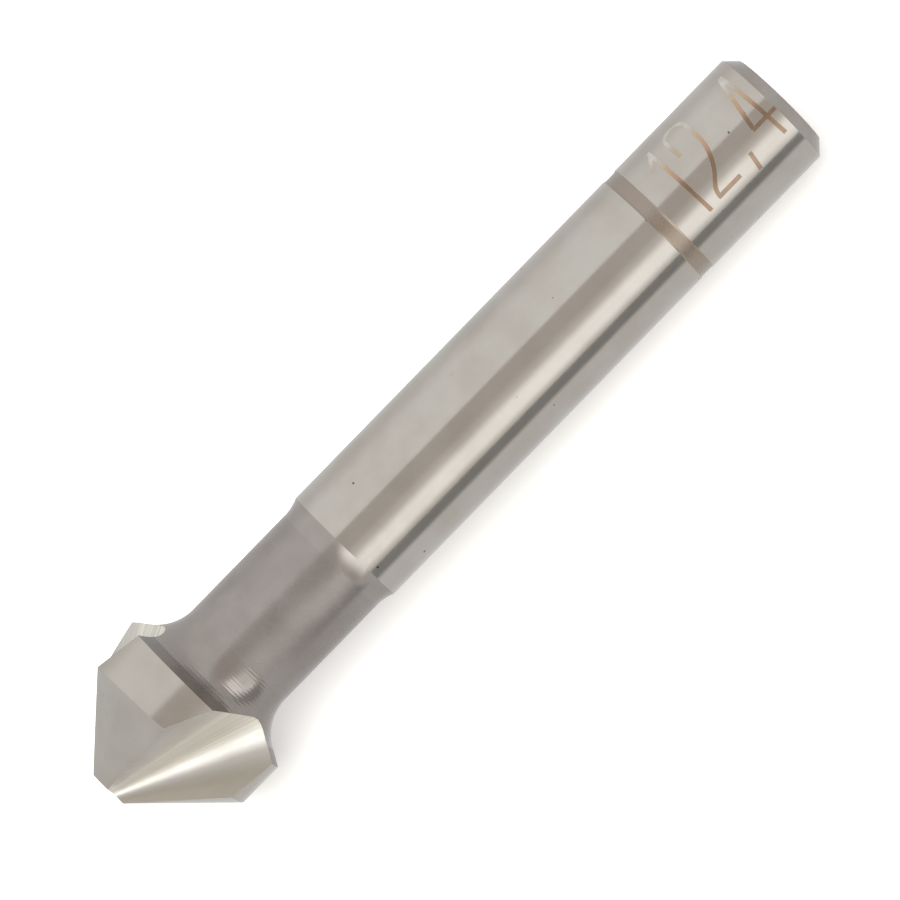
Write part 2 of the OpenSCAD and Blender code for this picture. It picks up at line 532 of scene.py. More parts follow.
@dataclass(frozen=True)
class ToolBody:
    """The tool's mesh: turned on its axis, cleared on its lands, fluted and numbered.

    Attributes:
        sizes: Driving sizes of the tool.
        walls: Walls of a flute.
        pose: How the tool lies.
        turn_steps: Number of faces round the tool.
        hollow_steps: Number of faces along a hollow.
        root_steps: Number of faces round the root of a flute.
        sharp: Angle between two faces from which their edge stays sharp, in degrees.
    """

    sizes: ToolSizes
    walls: FluteWalls
    pose: RestPose
    turn_steps: int = 384
    hollow_steps: int = 24
    root_steps: int = 96
    sharp: float = 12

    def outline(self) -> list[tuple[float, float]]:
        """Works out the turned outline.

        Returns:
            Radius and height of each corner, from the tip to the shank's end.
        """
        s = self.sizes
        points = [(s.tip_r, 0.0), (s.head_r, s.cone_end_z), (s.head_r, s.band_end_z)]
        for step in range(self.hollow_steps, -1, -1):
            radius, rise = s.hollow_at(s.head_hollow_sweep * step / self.hollow_steps)
            points.append((radius, s.neck_start_z - rise))
        for step in range(self.hollow_steps + 1):
            radius, rise = s.hollow_at(s.shank_hollow_sweep * step / self.hollow_steps)
            points.append((radius, s.neck_end_z + rise))
        floor_r = s.shank_r - s.ring_depth
        points += [
            (s.shank_r, s.ring_start_z - s.ring_depth),
            (floor_r, s.ring_start_z + s.ring_depth),
            (floor_r, s.ring_end_z - s.ring_depth),
            (s.shank_r, s.ring_end_z + s.ring_depth),
            (s.shank_r, s.bevel_start_z),
            (s.shank_r - s.end_bevel, s.overall_len),
        ]
        return points

    def region_at(self, height: float) -> Region:
        """Finds the region of a turned face.

        Args:
            height: Height of the face's middle.

        Returns:
            The region at that height.
        """
        s = self.sizes
        stations = (
            (s.cone_end_z, Region.LAND),
            (s.band_end_z, Region.BAND),
            (s.back_end_z, Region.BACK),
            (s.neck_start_z, Region.HOLLOW),
            (s.neck_end_z, Region.NECK),
            (s.shank_start_z, Region.STEP),
            (s.ring_start_z - s.ring_depth, Region.SHANK),
            (s.ring_end_z + s.ring_depth, Region.RING),
            (s.bevel_start_z, Region.SHANK),
        )
        return next((region for end, region in stations if height < end), Region.END)

    def turned(self) -> bmesh.types.BMesh:
        """Spins the outline round the axis and closes both ends.

        Returns:
            The turned blank in millimetres, upright, with its regions set.
        """
        bm = bmesh.new()
        corners = [bm.verts.new((r, 0, z)) for r, z in self.outline()]
        sides = [bm.edges.new(pair) for pair in zip(corners, corners[1:])]
        bmesh.ops.spin(
            bm, geom=corners + sides, cent=(0, 0, 0), axis=(0, 0, 1), dvec=(0, 0, 0),
            angle=FULL_TURN, steps=self.turn_steps, use_merge=True, use_duplicate=False,
        )
        bmesh.ops.holes_fill(bm, edges=bm.edges, sides=self.turn_steps)
        bmesh.ops.recalc_face_normals(bm, faces=bm.faces)
        for face in bm.faces:
            face.material_index = self.region_at(face.calc_center_median().z)
        return bm

    def flute(self, turn: float, region: Region) -> bpy.types.Object:
        """Makes what is ground out of one flute.

        Args:
            turn: Turn of the flute's cutting edge, in degrees.
            region: Finish of the flute's faces.

        Returns:
            A pointed solid whose section has two straight walls and a rounded root.
        """
        w = self.walls
        reach = 2 * self.sizes.neck_start_z
        rake_touch = w.touch(w.rake_face) / w.touch(w.rake_face).dot(w.axis)
        heel_touch = w.touch(w.heel_wall) / w.touch(w.heel_wall).dot(w.axis)
        rake_arm = rake_touch - w.axis
        heel_arm = heel_touch - w.axis
        sweep = rake_arm.angle(heel_arm)
        if rake_arm.cross(heel_arm).dot(w.axis) < 0:
            sweep = -sweep
        bm = bmesh.new()
        centre = w.start + w.axis * reach
        first = bm.verts.new(w.start + rake_touch * reach)
        spun = bmesh.ops.spin(
            bm, geom=[first], cent=centre, axis=w.axis, dvec=(0, 0, 0),
            angle=sweep, steps=self.root_steps, use_merge=False, use_duplicate=False,
        )
        last = next(item for item in spun["geom_last"] if isinstance(item, bmesh.types.BMVert))
        rake_out = w.axis.cross(rake_arm).normalized() * math.copysign(reach, -sweep)
        heel_out = w.axis.cross(heel_arm).normalized() * math.copysign(reach, sweep)
        far_rake = bm.verts.new(first.co + rake_out)
        far_heel = bm.verts.new(last.co + heel_out)
        bm.edges.new((far_rake, first))
        bm.edges.new((last, far_heel))
        bm.edges.new((far_heel, far_rake))
        section = bmesh.ops.contextual_create(bm, geom=bm.edges[:])["faces"]
        raised = bmesh.ops.extrude_face_region(bm, geom=section)
        tip = [item for item in raised["geom"] if isinstance(item, bmesh.types.BMVert)]
        bmesh.ops.pointmerge(bm, verts=tip, merge_co=w.start)
        bmesh.ops.dissolve_degenerate(bm, dist=SLIVER, edges=bm.edges)
        bmesh.ops.recalc_face_normals(bm, faces=bm.faces)
        for face in bm.faces:
            face.material_index = region
        place = Matrix.Rotation(math.radians(turn), 3, "Z")
        bmesh.ops.rotate(bm, verts=bm.verts, cent=(0, 0, 0), matrix=place)
        return as_object("flute", bm)

    def land_clearance(self, start: float, end: float) -> bpy.types.Object:
        """Makes what is ground off the cone of one land.

        Args:
            start: Turn at which the land starts, in degrees.
            end: Turn at which the land ends, in degrees.

        Returns:
            An object that holds a slice of the head less the cleared cone.
        """
        s = self.sizes
        deep = s.cone_end_z + 2 * s.land_shift
        below = -s.land_shift
        bm = bmesh.new()
        turns = [math.radians(turn) for turn in (start, (start + end) / 2, end)]
        ring = [Vector((0, 0, 0))] + [s.head_d * radial(turn) for turn in turns]
        face = bm.faces.new([bm.verts.new(co + Vector((0, 0, below))) for co in ring])
        raised = bmesh.ops.extrude_face_region(bm, geom=[face])
        lifted = [item for item in raised["geom"] if isinstance(item, bmesh.types.BMVert)]
        bmesh.ops.translate(bm, verts=lifted, vec=(0, 0, deep - below))
        bmesh.ops.recalc_face_normals(bm, faces=bm.faces)
        slice_object = as_object("slice", bm)
        cone = bmesh.new()
        height = deep + s.head_r - s.cone_point_z
        bmesh.ops.create_cone(
            cone, cap_ends=True, segments=self.turn_steps, radius1=0,
            radius2=height * math.tan(s.half_cone), depth=height,
        )
        edge = math.radians(start + s.flute_opening / 2)
        shift = Matrix.Translation((0, -s.land_shift, s.cone_point_z + height / 2))
        bmesh.ops.transform(cone, matrix=Matrix.Rotation(edge, 4, "Z") @ shift, verts=cone.verts)
        for item in cone.faces:
            item.material_index = Region.LAND
        carve(slice_object, [as_object("cleared", cone)])
        return slice_object

    def build(self) -> bpy.types.Object:
        """Turns, clears and flutes the tool and lays it on the floor.

        Returns:
            The tool as one closed mesh, in metres, in the frame's place.
        """
        s = self.sizes
        tool = as_object("ground_tool", self.turned())
        half = s.flute_opening / 2
        starts = [turn - half for turn in s.edges_at]
        ends = starts[1:] + [starts[0] + 360]
        carve(tool, [self.land_clearance(start, end) for start, end in zip(starts, ends)])
        carve(tool, [self.flute(turn, region) for turn, region in zip(s.edges_at, FLUTES)])
        engraver = Engraver(radius=s.shank_r)
        carve(tool, [engraver.cutter(stroke) for stroke in SIZE_NUMBER])
        self.lay(tool)
        return tool

    def lay(self, tool: bpy.types.Object) -> None:
        """Lays the upright tool on the floor and keeps its real edges sharp.

        Args:
            tool: The finished tool, upright and in millimetres.
        """
        bm = bmesh.new()
        bm.from_mesh(tool.data)
        bmesh.ops.remove_doubles(bm, verts=bm.verts, dist=WELD)
        bmesh.ops.dissolve_degenerate(bm, dist=WELD, edges=bm.edges)
        bmesh.ops.transform(bm, matrix=self.pose.matrix, verts=bm.verts)
        for face in bm.faces:
            face.smooth = True
        sharp = math.radians(self.sharp)
        for side in bm.edges:
            side.smooth = len(side.link_faces) == 2 and side.calc_face_angle(0) < sharp
        bm.to_mesh(tool.data)
        bm.free()

    def dress(self, tool: bpy.types.Object) -> None:
        """Gives every region its finish and puts the tool in the frame.

        Args:
            tool: The tool in its place.
        """
        looks = finishes(self.sizes, self.walls)
        for region in Region:
            tool.data.materials.append(looks[region].build(self.pose))
        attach(tool, "root")
        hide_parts("countersink_bit")


def as_object(name: str, bm: bmesh.types.BMesh) -> bpy.types.Object:
    """Writes a bmesh to a new object in the scene and frees it.

    Args:
        name: Name of the object and its mesh.
        bm: The mesh to write.

    Returns:
        The object, at the origin.
    """
    mesh = bpy.data.meshes.new(name)
    bm.to_mesh(mesh)
    bm.free()
    made = bpy.data.objects.new(name, mesh)
    bpy.context.scene.collection.objects.link(made)
    return made


def carve(body: bpy.types.Object, cutters: list[bpy.types.Object]) -> None:
    """Takes each cutter out of a body and removes the cutters.

    Args:
        body: The object whose mesh is cut.
        cutters: Closed objects that are taken out of it, one after another.
    """
    for cutter in cutters:
        step = body.modifiers.new("cut", "BOOLEAN")
        step.operation = "DIFFERENCE"
        step.solver = "EXACT"
        step.material_mode = "INDEX"
        step.object = cutter
        graph = bpy.context.evaluated_depsgraph_get()
        result = bpy.data.meshes.new_from_object(body.evaluated_get(graph), depsgraph=graph)
        body.modifiers.clear()
        body.data = result
        bpy.data.objects.remove(cutter)


@dataclass(frozen=True)
class Framing:
    """The photograph's view: square to the tool's axis, with the tool slanting up to the right.

    Attributes:
        seen_from: Turn from the first cutting edge to the line that the camera faces, in degrees.
        slant: Slope of the tool in the picture, in degrees.
        middle_z: Height on the tool of the picture's middle, in millimetres.
        middle_across: Distance of the picture's middle from the axis, in millimetres.
        distance: Distance from the camera to the picture's middle, in millimetres.
        width_seen: Width of the picture at that distance, in millimetres.
        sensor: Width of the camera's sensor, in millimetres.
        near: Distance at which the view starts, as a share of the camera's distance.
    """

    seen_from: float = MARKED_TURN
    slant: float = 45.736
    middle_z: float = 28.01
    middle_across: float = 0.489
    distance: float = 400.0
    width_seen: float = 52.42
    sensor: float = 36.0
    near: float = 0.01

    def build(self, pose: RestPose) -> None:
        """Makes the scene's camera.

        Args:
            pose: How the tool lies.
        """
        back, across = pose.facing(self.seen_from), pose.facing(self.seen_from + 90)
        axis = pose.turned.to_3x3() @ Vector((0, 0, 1))
        cos, sin = math.cos(math.radians(self.slant)), math.sin(math.radians(self.slant))
        right = cos * axis + sin * across
        up = sin * axis - cos * across
        centre = pose.matrix @ Vector((0, 0, self.middle_z)) + across * self.middle_across * MM
        data = bpy.data.cameras.new("camera")
        data.sensor_width = self.sensor
        data.lens = self.sensor * self.distance / self.width_seen
        data.clip_start = self.distance * self.near * MM
        camera = bpy.data.objects.new("camera", data)
        matrix = Matrix((right, up, back)).transposed().to_4x4()
        matrix.translation = centre + back * self.distance * MM
        camera.matrix_world = matrix
        bpy.context.scene.collection.objects.link(camera)
        bpy.context.scene.camera = camera


@dataclass(frozen=True)
class Lines:
    """Relief that a machining step leaves.

    Attributes:
        pitch: Distance from line to line, in millimetres.
        depth: Height of the relief, in micrometres.
        stretch: How many times longer than wide a line is.
    """

    pitch: float
    depth: float
    stretch: float = 12.0


@dataclass(frozen=True)
class Steel:
    """High speed steel as one machining step left it.

    Attributes:
        name: Name of the material.
        colour: Colour of the clean metal, as sRGB hex.
        cloud: Colour that it drifts to in soft clouds, as sRGB hex.
        roughness: Smallest and largest roughness over the surface.
        metallic: Share of bare metal, below 1 where scale or oxide covers it.
        lines: Random lines that run round the tool.
        feed: Even feed marks of a turning tool, or None.
        grain: Unordered relief of the surface, whose stretch isn't used.
        cloud_size: Size of the clouds, in millimetres.
        specks: Share of the speck cells that hold a tiny dark pit.
        tints_and_painted_reflection: Stops of a tint round the tool, or none: a turn in degrees from the
        marked side's middle line and an sRGB hex colour each, in order. On the number the pale stops
        are a painted reflection.
    """

    name: str
    colour: str
    cloud: str
    roughness: tuple[float, float]
    metallic: float = 1.0
    lines: Lines = Lines(pitch=0.1, depth=0.3)
    feed: Lines | None = None
    grain: Lines = Lines(pitch=0.08, depth=0.3)
    cloud_size: float = 2.5
    specks: float = 0.0
    tints_and_painted_reflection: Stops = ()

    def round_lines(self, tree: Tree, place: Socket) -> Socket:
        """Adds lines that run round the tool.

        Args:
            tree: Node tree of the material.
            place: Places in the tool's own frame, in millimetres.

        Returns:
            A value from 0 to 1 that changes mostly along the tool.
        """
        slow = 1 / (self.lines.pitch * self.lines.stretch)
        squeezed = add(tree, "Mapping", {"Vector": place, "Scale": (slow, slow, 1 / self.lines.pitch)})
        noise = add(tree, "TexNoise", {"Vector": squeezed.outputs[0], "Scale": 1.0, "Detail": 3.0})
        return noise.outputs["Fac"]

    def relief(self, tree: Tree, place: Socket) -> Socket:
        """Adds the finish's relief.

        Args:
            tree: Node tree of the material.
            place: Places in the tool's own frame, in millimetres.

        Returns:
            The surface normal with every line and grain in it.
        """
        grain = add(tree, "TexNoise", {"Vector": place, "Scale": 1 / self.grain.pitch, "Detail": 2.0})
        layers = [
            (grain.outputs["Fac"], self.grain.depth),
            (self.round_lines(tree, place), self.lines.depth),
        ]
        if self.feed:
            height = add(tree, "SeparateXYZ", {"Vector": place}).outputs["Z"]
            turns = add(tree, "Math", {0: height, 1: FULL_TURN / self.feed.pitch}, operation="MULTIPLY")
            wave = add(tree, "Math", {0: turns.outputs[0]}, operation="SINE")
            layers.append((wave.outputs[0], self.feed.depth))
        normal = add(tree, "Bevel", {"Radius": EDGE_ROUND * MM}, samples=4).outputs["Normal"]
        for height, depth in layers:
            raised = {"Height": height, "Distance": depth * MICRON, "Normal": normal}
            normal = add(tree, "Bump", raised).outputs["Normal"]
        return normal

    def tone(self, tree: Tree, place: Socket) -> Socket:
        """Adds the finish's colour.

        Args:
            tree: Node tree of the material.
            place: Places in the tool's own frame, in millimetres.

        Returns:
            The clean metal's colour, drifting to the cloud's, with its tint and its pits. On the number
            the tint holds a painted reflection.
        """
        clouds = add(tree, "TexNoise", {"Vector": place, "Scale": 1 / self.cloud_size, "Detail": 4.0})
        drift = add(tree, "MapRange", {"Value": clouds.outputs["Fac"], **CLOUD_RANGE}).outputs["Result"]
        tone = layered(tree, linear(self.colour), (drift, linear(self.cloud)))
        # A tint round the tool: on the number its pale part is a painted reflection of the light tent's
        # bright side
        if self.tints_and_painted_reflection:
            middle = math.radians(MARKED_TURN)
            tint = turn_colour(tree, place, radial(middle), radial(middle + math.pi / 2), self.tints_and_painted_reflection)
            share = add(tree, "Math", {0: drift, 1: CLOUD_ON_TINT}, operation="MULTIPLY")
            tone = layered(tree, tint, (share.outputs[0], tone))
        if self.specks:
            start, full = PIT_RADII
            cells = add(tree, "TexVoronoi", {"Vector": place, "Scale": 1.0})
            chosen = add(tree, "Math", {0: cells.outputs["Color"], 1: self.specks}, operation="LESS_THAN")
            away = {"Value": cells.outputs["Distance"], "From Min": start, "From Max": full}
            near = add(tree, "MapRange", away).outputs["Result"]
            pit = add(tree, "Math", {0: chosen.outputs[0], 1: near}, operation="MULTIPLY")
            tone = layered(tree, tone, (pit.outputs[0], linear(PIT_COLOUR)))
        return tone

    def build(self, pose: RestPose) -> bpy.types.Material:
        """Makes the material.

        Args:
            pose: How the tool lies, which gives its own frame.

        Returns:
            The material, driven by Object coordinates.
        """
        material = bpy.data.materials.new(self.name)
        material.use_nodes = True
        tree = material.node_tree
        shader = tree.nodes["Principled BSDF"]
        shader.inputs["Metallic"].default_value = self.metallic
        place = tool_place(tree, pose)
        tree.links.new(self.tone(tree, place), shader.inputs["Base Color"])
        low, high = self.roughness
        wear = 1 / (GLOSS_SPREAD * self.grain.pitch)
        worn = add(tree, "TexNoise", {"Vector": place, "Scale": wear, "Detail": 3.0})
        spread = add(tree, "MapRange", {
            "Value": worn.outputs["Fac"], **NOISE_RANGE, "To Min": low, "To Max": high,
        })
        tree.links.new(spread.outputs["Result"], shader.inputs["Roughness"])
        tree.links.new(self.relief(tree, place), shader.inputs["Normal"])
        self.brush(tree, shader, place, pose)
        return material

    def brush(self, tree: Tree, shader: bpy.types.Node, place: Socket, pose: RestPose) -> None:
        """Brushes the finish. A plain finish stays as it is.

        Args:
            tree: Node tree of the material.
            shader: The material's shader.
            place: Places in the tool's own frame, in millimetres.
            pose: How the tool lies.
        """


@dataclass(frozen=True)
class WheelGround(Steel):
    """Steel of one flute, whose lines fan out from the point of its rounded root.

    The pitch and stretch of its lines aren't used, because a line widens with its distance from
    that point.

    Attributes:
        turn: Turn of the flute's cutting edge, in degrees.
        point: The root's own point, in the frame of a flute whose edge lies over the X axis.
        across: Unit vector from the heel wall's side to the rake face's side, in that frame.
        fan: Width of a line, as an angle in radians.
        stretch: How far the gloss is stretched across the lines.
        painted_reflection_stops: Stops of the painted reflection's pale streaks on the heel wall, as a
        place across and a share.
        painted_reflection_colour: Colour of the streaks of painted reflection, as sRGB hex.
        painted_reflection_most: Share of the painted reflection's colour in the strongest streaks,
        before the stops weaken it.
        painted_reflection_metallic: Metallic where the painted reflection is full.
        rake_painted_shade: Colour of the rake face, darker than the flute's steel as painted shade, as sRGB
            hex.
        rake_shade_from: Places across at which the rake face's painted shade starts and is full.
    """

    turn: float = 0.0
    point: tuple[float, float, float] = (0, 0, 0)
    across: tuple[float, float, float] = (0, 0, 0)
    fan: float = 0.02
    stretch: float = 0.7
    # Painted reflection: pale streaks on the heel wall that stand for light mirrored there
    painted_reflection_stops: tuple[tuple[float, float], ...] = ((-0.38, 0.0), (-0.3, 0.5), (-0.11, 1.0), (0.01, 0.0))
    painted_reflection_colour: str = "e2dfd3"
    painted_reflection_most: float = 1.55
    painted_reflection_metallic: float = 0.5
    # Painted shade: the rake face is coloured darker than the rest of the flute
    rake_painted_shade: str = "beb9b2"
    rake_shade_from: tuple[float, float] = (0.02, 0.08)

    def ray(self, tree: Tree, place: Socket) -> Socket:
        """Adds the direction from the root's point, in the flute's own frame.

        Args:
            tree: Node tree of the material.
            place: Places in the tool's own frame, in millimetres.

        Returns:
            A unit vector.
        """
        own = add(tree, "Mapping", {"Vector": place, "Rotation": (0, 0, -math.radians(self.turn))})
        way = add(tree, "VectorMath", {0: own.outputs[0], 1: self.point}, operation="SUBTRACT")
        return add(tree, "VectorMath", {0: way.outputs[0]}, operation="NORMALIZE").outputs[0]

    def side(self, tree: Tree, place: Socket) -> Socket:
        """Adds the place across the flute, below 0 on the heel wall and above 0 on the rake face.

        Args:
            tree: Node tree of the material.
            place: Places in the tool's own frame, in millimetres.

        Returns:
            The sine of the angle from the root's line.
        """
        unit = self.ray(tree, place)
        return add(tree, "VectorMath", {0: unit, 1: self.across}, operation="DOT_PRODUCT").outputs["Value"]

    def painted_reflection_share(self, tree: Tree, place: Socket) -> Socket:
        """Adds the share of painted reflection, in pale streaks along the heel wall.

        Args:
            tree: Node tree of the material.
            place: Places in the tool's own frame, in millimetres.

        Returns:
            A value from 0 to about 1.
        """
        low, high = self.painted_reflection_stops[0][0], self.painted_reflection_stops[-1][0]
        spot = add(tree, "MapRange", {"Value": self.side(tree, place), "From Min": low, "From Max": high})
        ramp = add(tree, "ValToRGB", {"Fac": spot.outputs["Result"]})
        set_stops(ramp, [
            ((at - low) / (high - low), (share, share, share, 1.0)) for at, share in self.painted_reflection_stops
        ])
        streaks = add(tree, "MapRange", {
            "Value": self.round_lines(tree, place), **NOISE_RANGE, "To Max": self.painted_reflection_most,
        })
        shares = {0: ramp.outputs["Color"], 1: streaks.outputs["Result"]}
        return add(tree, "Math", shares, operation="MULTIPLY").outputs[0]

    def round_lines(self, tree: Tree, place: Socket) -> Socket:
        """Adds lines along the flute, the same at every distance from its point.

        Args:
            tree: Node tree of the material.
            place: Places in the tool's own frame, in millimetres.

        Returns:
            A value from 0 to 1 that changes only across the flute.
        """
        unit = self.ray(tree, place)
        return add(tree, "TexNoise", {"Vector": unit, "Scale": 1 / self.fan, "Detail": 4.0}).outputs["Fac"]

    def tone(self, tree: Tree, place: Socket) -> Socket:
        """Adds the finish's colour, with pale streaks of painted reflection on the heel wall and darker
            painted shade on the rake face.

        Args:
            tree: Node tree of the material.
            place: Places in the tool's own frame, in millimetres.

        Returns:
            The metal's colour.
        """
        start, full = self.rake_shade_from
        rake = add(tree, "MapRange", {"Value": self.side(tree, place), "From Min": start, "From Max": full})
        return layered(
            tree, super().tone(tree, place),
            # painted shade on the rake face
            (rake.outputs["Result"], linear(self.rake_painted_shade)),
            # pale streaks of painted reflection on the heel wall
            (self.painted_reflection_share(tree, place), linear(self.painted_reflection_colour)),
        )

    def brush(self, tree: Tree, shader: bpy.types.Node, place: Socket, pose: RestPose) -> None:
        """Stretches the gloss across the flute's lines and dulls its streaks of painted reflection.

        Args:
            tree: Node tree of the material.
            shader: The material's shader.
            place: Places in the tool's own frame, in millimetres.
            pose: How the tool lies.
        """
        point = pose.matrix @ Matrix.Rotation(math.radians(self.turn), 4, "Z") @ Vector(self.point)
        spot = add(tree, "TexCoord").outputs["Object"]
        way = add(tree, "VectorMath", {0: spot, 1: point}, operation="SUBTRACT")
        along = add(tree, "VectorMath", {0: way.outputs[0]}, operation="NORMALIZE")
        tree.links.new(along.outputs[0], shader.inputs["Tangent"])
        shader.inputs["Anisotropic"].default_value = self.stretch
        shader.inputs["Anisotropic Rotation"].default_value = QUARTER_TURN
        # Less metallic under the painted reflection, so that its pale colour shows
        bare = add(tree, "MapRange", {
            "Value": self.painted_reflection_share(tree, place), "To Min": self.metallic, "To Max": self.painted_reflection_metallic,
        })
        tree.links.new(bare.outputs["Result"], shader.inputs["Metallic"])


def add(
    tree: Tree, kind: str, inputs: dict[str | int, object] | None = None, **settings: object,
) -> bpy.types.Node:
    """Adds a node to a tree with its settings, values and links.

    Args:
        tree: Node tree that gets the node.
        kind: Type of the node, without its "ShaderNode".
        inputs: Value or linked socket of each input, by its name or number.
        settings: Values of the node's own settings.

    Returns:
        The new node.
    """
    node = tree.nodes.new("ShaderNode" + kind)
    for name, value in settings.items():
        setattr(node, name, value)
    for key, value in (inputs or {}).items():
        if isinstance(value, Socket):
            tree.links.new(value, node.inputs[key])
        else:
            node.inputs[key].default_value = value
    return node


def tool_place(tree: Tree, pose: RestPose) -> Socket:
    """Adds the nodes that give a place in the tool's own upright frame.

    Args:
        tree: Node tree of the material.
        pose: How the tool lies.

    Returns:
        The place in millimetres.
    """
    back = pose.matrix.inverted()
    coords = add(tree, "TexCoord")
    mapping = add(tree, "Mapping", {
        "Vector": coords.outputs["Object"],
        "Location": back.translation,
        "Rotation": pose.turned.inverted().to_euler(),
        "Scale": (1 / MM, 1 / MM, 1 / MM),
    })
    return mapping.outputs[0]


def layered(tree: Tree, under: Socket | Colour, *layers: tuple[Socket, Socket | Colour]) -> Socket:
    """Lays colours over one another.

    Args:
        tree: Node tree that gets the nodes.
        under: The lowest colour, or a socket that gives it.
        layers: Share and colour of each layer, from the lowest one up.

    Returns:
        The colour of the whole.
    """
    for share, over in layers:
        colours = {"Factor": share, MIX_UNDER: under, MIX_OVER: over}
        under = add(tree, "Mix", colours, data_type="RGBA").outputs[MIX_RESULT]
    return under


def set_stops(ramp: bpy.types.Node, stops: list[tuple[float, Colour]]) -> None:
    """Gives a colour ramp its stops.

    Args:
        ramp: The ramp's node.
        stops: Place from 0 to 1 and linear colour of each stop, in order.
    """
    elements = ramp.color_ramp.elements
    while len(elements) < len(stops):
        elements.new(1.0)
    for element, (place, colour) in zip(elements, stops):
        element.position = place
        element.color = colour


def turn_colour(tree: Tree, way: Socket, ahead: Vector, across: Vector, stops: Stops) -> Socket:
    """Adds a colour that changes with the turn about the tool's axis.

    Args:
        tree: Node tree that gets the nodes.
        way: The place or direction whose turn counts.
        ahead: Direction at a turn of 0.
        across: Direction at a turn of 90 degrees.
        stops: Turn in degrees and sRGB hex colour of each stop, in order.

    Returns:
        The colour.
    """
    sides = [
        add(tree, "VectorMath", {0: way, 1: side}, operation="DOT_PRODUCT").outputs["Value"]
        for side in (across, ahead)
    ]
    turn = add(tree, "Math", {0: sides[0], 1: sides[1]}, operation="ARCTAN2").outputs[0]
    share = add(tree, "MapRange", {"Value": turn, "From Min": -math.pi, "From Max": math.pi})
    ramp = add(tree, "ValToRGB", {"Fac": share.outputs["Result"]})
    set_stops(ramp, [(at / 360 + 0.5, linear(colour)) for at, colour in stops])
    return ramp.outputs["Color"]


def finishes(sizes: ToolSizes, walls: FluteWalls) -> dict[Region, Steel]:
    """Gives each region of the tool its finish.

    Args:
        sizes: Driving sizes of the tool.
        walls: Walls of a flute, whose point the flute's lines fan out from.

    Returns:
        The finish of every region.
    """
    # The lines that a wheel's grit leaves are a few hundredths of a millimetre apart, too fine to
    # show in the picture, and are drawn up to 0.12 mm apart
    made = {
        # Ground round: a soft mirror with very fine lines round it and a few pits
        Region.SHANK: Steel(
            "ground_steel_shank", "c6c1b9", "bfb9b0", (0.1, 0.15), specks=0.3,
            lines=Lines(pitch=0.06, depth=0.25, stretch=30), grain=Lines(pitch=0.1, depth=0.8),
        ),
        # Ground like the shank and a little duller, so its reflections are softer
        Region.BAND: Steel("ground_steel_band", "c4beb6", "bdb6ad", (0.14, 0.2), specks=0.3),
        # Ground a little off the axis: clean and pale, with faint lines round the cone
        Region.LAND: Steel(
            "relief_ground_steel_land", "c4c0b9", "bcb7ae", (0.14, 0.2), specks=0.3,
            lines=Lines(pitch=0.12, depth=0.5),
        ),
        # Turned and left dull by the heat treatment: dark grey, with the tool's feed lines
        Region.BACK: Steel(
            "turned_steel_back_face", "8a8480", "807a74", (0.26, 0.34), metallic=0.8,
            feed=Lines(pitch=0.125, depth=0.8),
        ),
        # Turned: feed lines show across its streak of light. The real ones are closer than 0.2 mm,
        # too fine to show in the picture, and are drawn coarser here.
        Region.HOLLOW: Steel(
            "turned_steel_hollow", "9e9893", "958e87", (0.16, 0.2), metallic=0.8,
            feed=Lines(pitch=0.2, depth=2.4),
        ),
        # Turned: a narrow darker step between the neck and the bright shank
        Region.STEP: Steel(
            "turned_steel_step", "a49e99", "9a938d", (0.16, 0.2), metallic=0.8,
            feed=Lines(pitch=0.125, depth=0.5),
        ),
        # Turned and left dull by the heat treatment: an even grey with soft reflections
        Region.NECK: Steel(
            "turned_steel_neck", "a39d99", "99928d", (0.22, 0.28), metallic=0.88, specks=0.1,
            feed=Lines(pitch=0.125, depth=0.5),
        ),
        # Tinted by the heat of a laser: a dull warm grey that hardly mirrors
        Region.RING: Steel(
            "heat_tinted_steel_ring", "a4988e", "9b8d7e", (0.26, 0.32), metallic=0.75,
            tints_and_painted_reflection=(
                (-75, "9d9792"), (-60, "988e85"), (-15, "968b81"),
                (5, "958677"), (60, "a4988b"), (80, "ada7a1"),
            ),
        ),
        # Turned: the bevel and the end face are an even, dull grey
        Region.END: Steel("turned_steel_end", "ada7a2", "a29b95", (0.2, 0.28), metallic=0.8),
        # Marked by a laser: a thin film of oxide, brown on most of the number. Its pale, almost white top
        # is a painted reflection of the light tent's bright side.
        Region.MARK: Steel(
            "laser_oxide_and_painted_reflection", "9c826c", "ab977f", (0.25, 0.35), cloud_size=0.6,
            # Painted reflection: the pale stops from -46 to -30 stand for the bright tent mirrored in the
            # number
            tints_and_painted_reflection=(
                (-46, "dcd8d0"), (-41, "cac5bb"), (-30, "c8b497"),
                (-16, "c19d89"), (-9, "9d8570"), (30, "9d8570"),
            ),
        ),
    }
    across = tuple((walls.touch(walls.rake_face) - walls.touch(walls.heel_wall)).normalized())
    # Ground by a wheel that runs along the flute: its lines fan out from the point of the root and
    # stretch the light across them. The heel wall's pale streaks are painted reflection, and the rake
    # face's darker colour is painted shade
    for number, (region, turn) in enumerate(zip(FLUTES, sizes.edges_at), 1):
        made[region] = WheelGround(
            f"wheel_ground_steel_painted_light_flute_{number}", "d3cfc9", "c9c5be", (0.3, 0.38),
            lines=Lines(pitch=0.1, depth=4.0), grain=Lines(pitch=0.08, depth=0.2),
            turn=turn, point=tuple(walls.start), across=across,
        )
    return made


